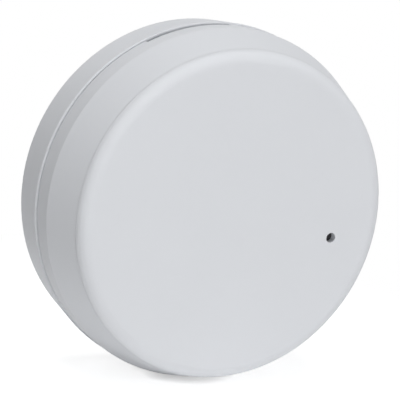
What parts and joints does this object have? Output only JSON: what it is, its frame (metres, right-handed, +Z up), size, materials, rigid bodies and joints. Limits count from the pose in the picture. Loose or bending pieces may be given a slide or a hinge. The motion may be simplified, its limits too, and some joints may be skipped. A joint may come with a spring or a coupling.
{
  "type": "glass break detector",
  "caption": "Round wall-mounted glass break detector: a base screwed to the wall, a twist-on unit with battery, circuit board and microphone, and a plain pull-off front cover with a sound hole.",
  "frame": {"origin": "where the detector's axis meets the wall, on the flat back of the mounting base", "axes": "+Y into the wall, so the front faces -Y; +Z up the wall; +X to the right as seen from the front"},
  "size_m": [0.0802, 0.0288, 0.0802],
  "materials": {
    "base_shell": "fine texture",
    "cover_shell": "fine texture",
    "chassis_shell": "plain moulded",
    "board": "solder mask",
    "screws": "zinc plated",
    "battery_metal": "satin",
    "sleeve_film": "plain shrunk film",
    "battery_cap_metal": "nickel plated",
    "battery_seal": "plain",
    "spring_wire": "nickel plated",
    "contact_metal": "nickel plated",
    "capsule_metal": "satin",
    "boot_rubber": "matt",
    "chip_plastic": "moulded",
    "tin": "tin plated",
    "module_board": "solder mask",
    "shield_metal": "tin plated",
    "crystal_metal": "nickel plated",
    "antenna_wire": "plain",
    "lamp_plastic": "clear red",
    "capacitor_base_plastic": "moulded",
    "capacitor_metal": "satin",
    "capacitor_ceramic": "sintered",
    "resistor_ceramic": "glassy",
    "header_plastic": "moulded",
    "gold_pins": "plated",
    "switch_plastic": "moulded",
    "button_plastic": "moulded",
    "dip_plastic": "moulded",
    "slider_plastic": "moulded",
    "plunger_plastic": "moulded",
    "screen_wire": "woven fine wire, darkened"
  },
  "bodies": {
    "base": {"mounting_base": "base_shell"},
    "cover": {"front_cover": "cover_shell", "dust_screen": "screen_wire"},
    "button": {"test_button_cap": "button_plastic"},
    "dip_1": {"dip_slider_1": "slider_plastic"},
    "dip_2": {"dip_slider_2": "slider_plastic"},
    "plunger": {"tamper_plunger": "plunger_plastic"},
    "unit": {"chassis": "chassis_shell", "circuit_board": "board", "board_screws": "screws", "battery_can": "battery_metal", "battery_sleeve": "sleeve_film", "battery_cap": "battery_cap_metal", "battery_seal_ring": "battery_seal", "battery_spring": "spring_wire", "contact_negative": "contact_metal", "contact_positive": "contact_metal", "microphone_capsule": "capsule_metal", "microphone_boot": "boot_rubber", "microcontroller": "chip_plastic", "amplifier_chip": "chip_plastic", "chip_pins": "tin", "radio_module": "module_board", "radio_shield": "shield_metal", "crystal": "crystal_metal", "antenna": "antenna_wire", "status_lamp": "lamp_plastic", "capacitor_bases": "capacitor_base_plastic", "capacitor_cans": "capacitor_metal", "chip_capacitors": "capacitor_ceramic", "chip_resistors": "resistor_ceramic", "chip_terminals": "tin", "header_body": "header_plastic", "header_pins": "gold_pins", "test_button_body": "switch_plastic", "test_button_plate": "tin", "dip_switch_body": "dip_plastic", "tamper_switch_body": "switch_plastic", "tamper_spring": "spring_wire"}
  },
  "joints": [
    {"name": "unit_twist", "type": "hinge", "parent": "base", "child": "unit", "pos_m": [0, 0, 0], "axis": [0, -1, 0], "range_deg": [0, 20]},
    {"name": "cover_lift", "type": "slide", "parent": "unit", "child": "cover", "axis": [0, -1, 0], "range_m": [0, 0.03]},
    {"name": "tamper_rise", "type": "slide", "parent": "unit", "child": "plunger", "axis": [0, -1, 0], "range_m": [0, 0.001]},
    {"name": "test_button_press", "type": "slide", "parent": "unit", "child": "button", "axis": [0, 1, 0], "range_m": [0, 0.00025], "stiffness_N_per_m": 1000},
    {"name": "dip_slide_1", "type": "slide", "parent": "unit", "child": "dip_1", "axis": [0, 0, 1], "range_m": [0, 0.001]},
    {"name": "dip_slide_2", "type": "slide", "parent": "unit", "child": "dip_2", "axis": [0, 0, 1], "range_m": [0, 0.001]}
  ],
  "couplings": [
    {"joint": "tamper_rise", "follows": "cover_lift", "ratio": 0.033333}
  ]
}
